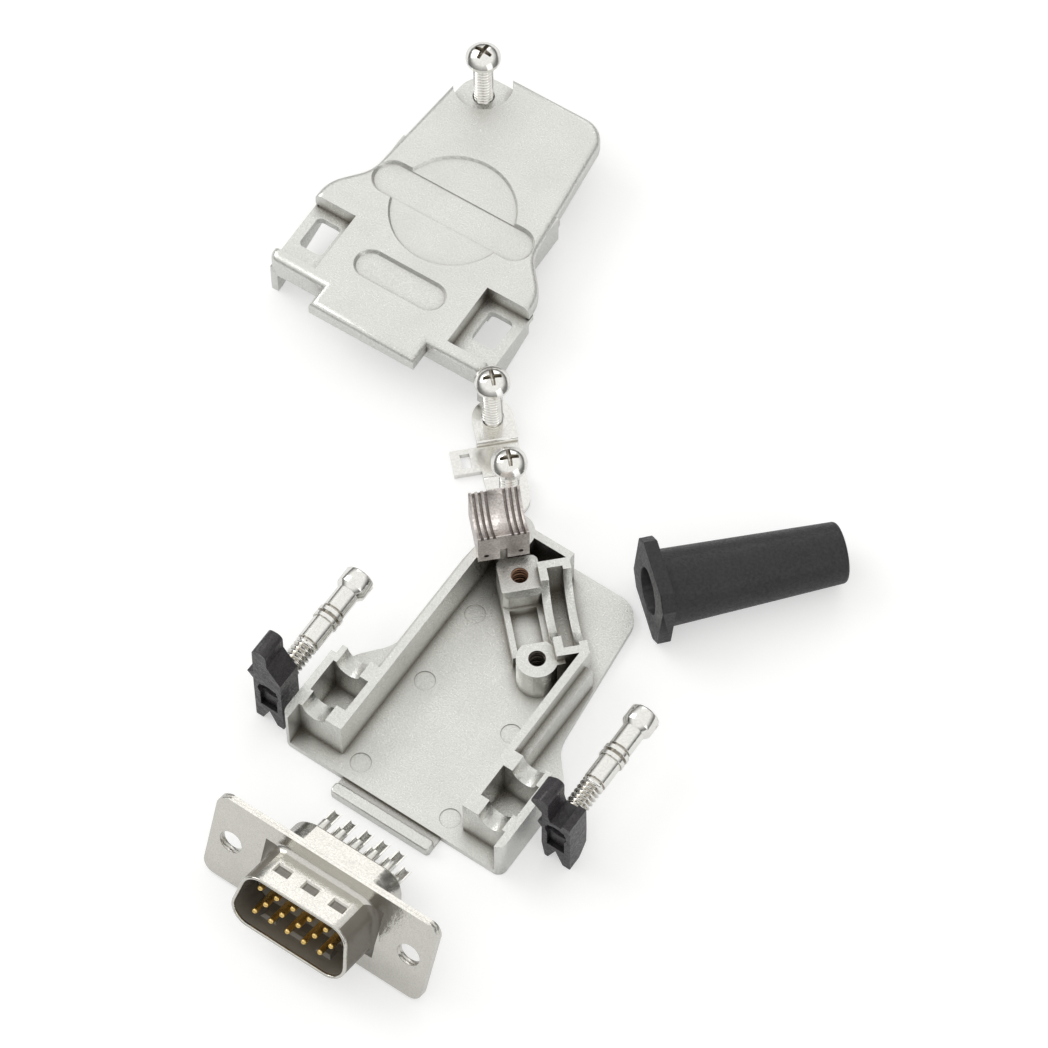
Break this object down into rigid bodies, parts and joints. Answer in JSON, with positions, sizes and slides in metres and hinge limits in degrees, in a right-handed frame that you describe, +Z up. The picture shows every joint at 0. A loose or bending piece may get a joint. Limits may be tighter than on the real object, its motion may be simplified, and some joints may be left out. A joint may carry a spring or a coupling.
{
  "type": "d-sub connector kit",
  "caption": "Angled-exit metal hood kit for a D-shaped plug, laid out in pieces: two halves, plug, jackscrews with clips, cable clamp and boot.",
  "frame": {"origin": "middle of the base half's front edge, on its underside", "axes": "+X along the connector's width, +Y towards the hood's cable end, +Z up from the table"},
  "size_m": [0.0822, 0.1119, 0.0163],
  "materials": {
    "satin_zinc": "satin nickel plate on die-cast zinc",
    "bright_steel": "bright nickel plate",
    "tinned_steel": "bright tin plate",
    "insert_zinc": "satin, slightly warm grey",
    "gold_contact": "gold plate",
    "black_plastic": "satin black",
    "black_rubber": "satin black"
  },
  "bodies": {
    "kit": {"base_shell": "satin_zinc", "cover_shell": "satin_zinc", "cover_screw": "bright_steel", "clamp_screw_near": "bright_steel", "clamp_screw_far": "bright_steel", "clamp_strap": "bright_steel", "clamp_insert": "insert_zinc", "cable_boot": "black_rubber", "jackscrew_clip_left": "black_plastic", "jackscrew_clip_right": "black_plastic", "connector_front_shell": "tinned_steel", "connector_rear_shell": "tinned_steel", "connector_front_insulator": "black_plastic", "connector_rear_insulator": "black_plastic", "contact_01": "gold_contact", "contact_02": "gold_contact", "contact_03": "gold_contact", "contact_04": "gold_contact", "contact_05": "gold_contact", "contact_06": "gold_contact", "contact_07": "gold_contact", "contact_08": "gold_contact", "contact_09": "gold_contact", "contact_10": "gold_contact", "contact_11": "gold_contact", "contact_12": "gold_contact", "contact_13": "gold_contact", "contact_14": "gold_contact", "contact_15": "gold_contact"},
    "left_jackscrew": {"jackscrew_left": "bright_steel"},
    "right_jackscrew": {"jackscrew_right": "bright_steel"}
  },
  "joints": [
    {"name": "left_jackscrew_spin", "type": "hinge", "parent": "kit", "child": "left_jackscrew", "pos_m": [-0.01842, 0.0031, 0.0072], "axis": [0, 1, 0], "continuous": true},
    {"name": "right_jackscrew_spin", "type": "hinge", "parent": "kit", "child": "right_jackscrew", "pos_m": [0.0195, 0.0071, 0.0072], "axis": [0, 1, 0], "continuous": true}
  ]
}
